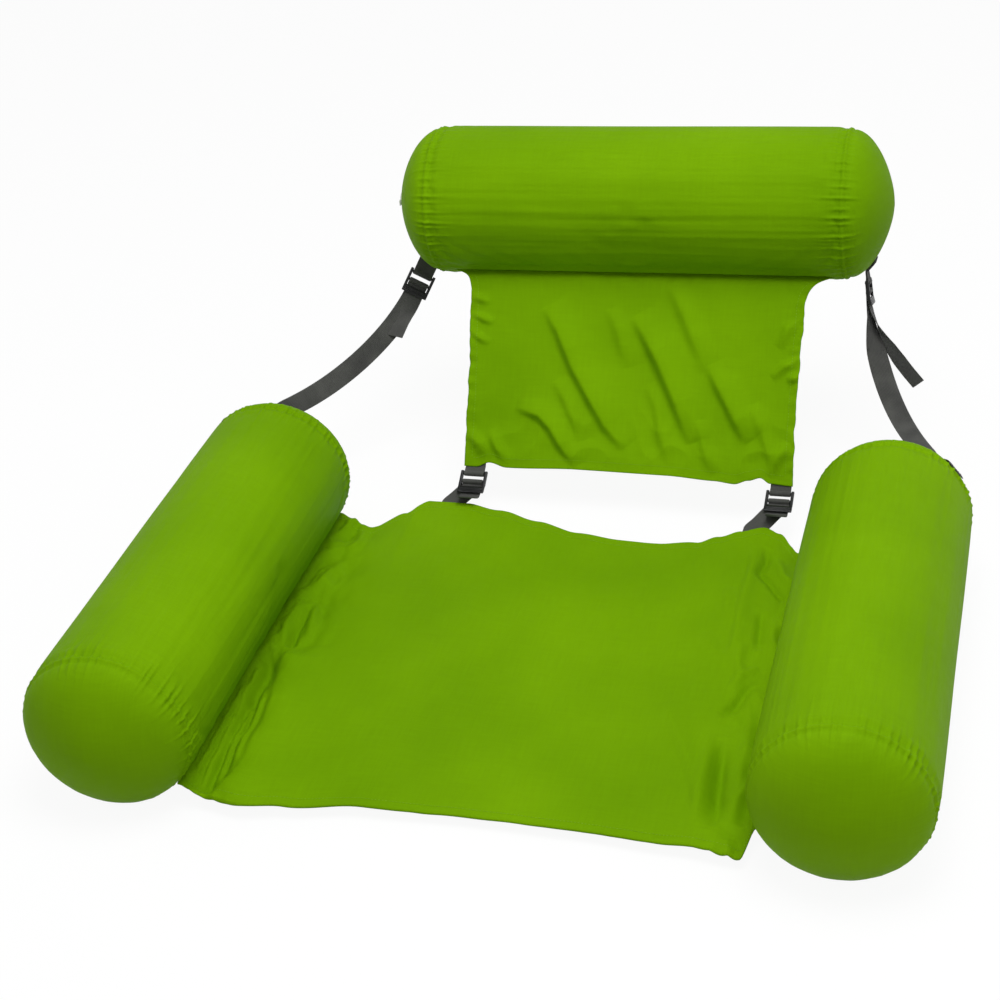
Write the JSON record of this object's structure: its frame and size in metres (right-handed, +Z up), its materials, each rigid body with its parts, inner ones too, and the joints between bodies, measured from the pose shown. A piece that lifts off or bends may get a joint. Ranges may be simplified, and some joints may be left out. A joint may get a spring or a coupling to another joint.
{
  "type": "inflatable pool chair",
  "caption": "Floating lounge chair: inflatable armrest and headrest bolsters in fabric sleeves, a sling seat and a strapped back panel with ladder lock adjusters.",
  "frame": {"origin": "middle of the footprint, on the surface that the armrests rest on", "axes": "+Z up, +Y from the seat's front edge towards the headrest, +X towards the sitter's left, which is the right of the front view"},
  "size_m": [0.9144, 0.944, 0.418],
  "materials": {
    "lime_fabric": "woven polyester with a slight satin sheen",
    "charcoal_webbing": "ribbed polyester webbing",
    "black_plastic": "moulded acetal, satin",
    "bladder_vinyl": "smooth translucent vinyl",
    "white_vinyl": "smooth soft vinyl"
  },
  "bodies": {
    "seat": {"seat_panel": "lime_fabric", "strap_lower_left": "charcoal_webbing", "strap_lower_right": "charcoal_webbing"},
    "arm_left": {"arm_left_sleeve": "lime_fabric", "arm_left_cap_front": "lime_fabric", "arm_left_cap_rear": "lime_fabric", "arm_left_bladder": "bladder_vinyl", "arm_left_valve": "white_vinyl", "strap_side_left": "charcoal_webbing"},
    "arm_right": {"arm_right_sleeve": "lime_fabric", "arm_right_cap_front": "lime_fabric", "arm_right_cap_rear": "lime_fabric", "arm_right_bladder": "bladder_vinyl", "arm_right_valve": "white_vinyl", "strap_side_right": "charcoal_webbing"},
    "back": {"back_panel": "lime_fabric", "loop_lower_left": "charcoal_webbing", "loop_lower_right": "charcoal_webbing"},
    "headrest": {"headrest_sleeve": "lime_fabric", "headrest_cap_left": "lime_fabric", "headrest_cap_right": "lime_fabric", "headrest_bladder": "bladder_vinyl", "headrest_valve": "white_vinyl", "loop_upper_left": "charcoal_webbing", "loop_upper_right": "charcoal_webbing"},
    "lock_lower_left": {"lock_lower_left": "black_plastic"},
    "lock_lower_right": {"lock_lower_right": "black_plastic"},
    "lock_upper_left": {"lock_upper_left": "black_plastic"},
    "lock_upper_right": {"lock_upper_right": "black_plastic"},
    "arm_left_plug": {"arm_left_valve_plug": "white_vinyl"},
    "arm_right_plug": {"arm_right_valve_plug": "white_vinyl"},
    "headrest_plug": {"headrest_valve_plug": "white_vinyl"}
  },
  "joints": [
    {"name": "arm_left_roll", "type": "hinge", "parent": "seat", "child": "arm_left", "pos_m": [-0.30427, -0.16622, 0.0255], "axis": [0, 1, 0], "range_deg": [-10, 28], "deforming": ["strap_side_left"]},
    {"name": "arm_right_roll", "type": "hinge", "parent": "seat", "child": "arm_right", "pos_m": [0.30427, -0.16622, 0.0255], "axis": [0, -1, 0], "range_deg": [-10, 28], "deforming": ["strap_side_right"]},
    {"name": "back_recline", "type": "hinge", "parent": "seat", "child": "back", "pos_m": [0, 0.17255, 0.04664], "axis": [1, 0, 0], "range_deg": [-12, 76], "deforming": ["strap_side_left", "strap_side_right", "strap_lower_left", "strap_lower_right"]},
    {"name": "headrest_roll", "type": "hinge", "parent": "back", "child": "headrest", "pos_m": [0.03456, 0.31905, 0.25929], "axis": [0.9997, 0, 0.0244], "range_deg": [-30, 25], "deforming": ["strap_side_left", "strap_side_right"]},
    {"name": "lock_lower_left_tip", "type": "hinge", "parent": "seat", "child": "lock_lower_left", "pos_m": [-0.15, 0.17255, 0.04664], "axis": [1, 0, 0], "range_deg": [-15, 15], "deforming": ["strap_lower_left"]},
    {"name": "lock_lower_right_tip", "type": "hinge", "parent": "seat", "child": "lock_lower_right", "pos_m": [0.229, 0.17255, 0.04664], "axis": [1, 0, 0], "range_deg": [-15, 15], "deforming": ["strap_lower_right"]},
    {"name": "lock_upper_left_tip", "type": "hinge", "parent": "headrest", "child": "lock_upper_left", "pos_m": [-0.25215, 0.35702, 0.22285], "axis": [0.859, 0.1161, -0.4986], "range_deg": [-20, 20], "deforming": ["strap_side_left"]},
    {"name": "lock_upper_right_tip", "type": "hinge", "parent": "headrest", "child": "lock_upper_right", "pos_m": [0.3109, 0.36661, 0.23501], "axis": [0.029, 0.9503, -0.3101], "range_deg": [-20, 20], "deforming": ["strap_side_right"]},
    {"name": "arm_left_plug_pull", "type": "slide", "parent": "arm_left", "child": "arm_left_plug", "axis": [0, 1, 0], "range_m": [0, 0.012]},
    {"name": "arm_right_plug_pull", "type": "slide", "parent": "arm_right", "child": "arm_right_plug", "axis": [0, 1, 0], "range_m": [0, 0.012]},
    {"name": "headrest_plug_pull", "type": "slide", "parent": "headrest", "child": "headrest_plug", "axis": [-0.9997, 0, -0.0244], "range_m": [0, 0.012]}
  ]
}
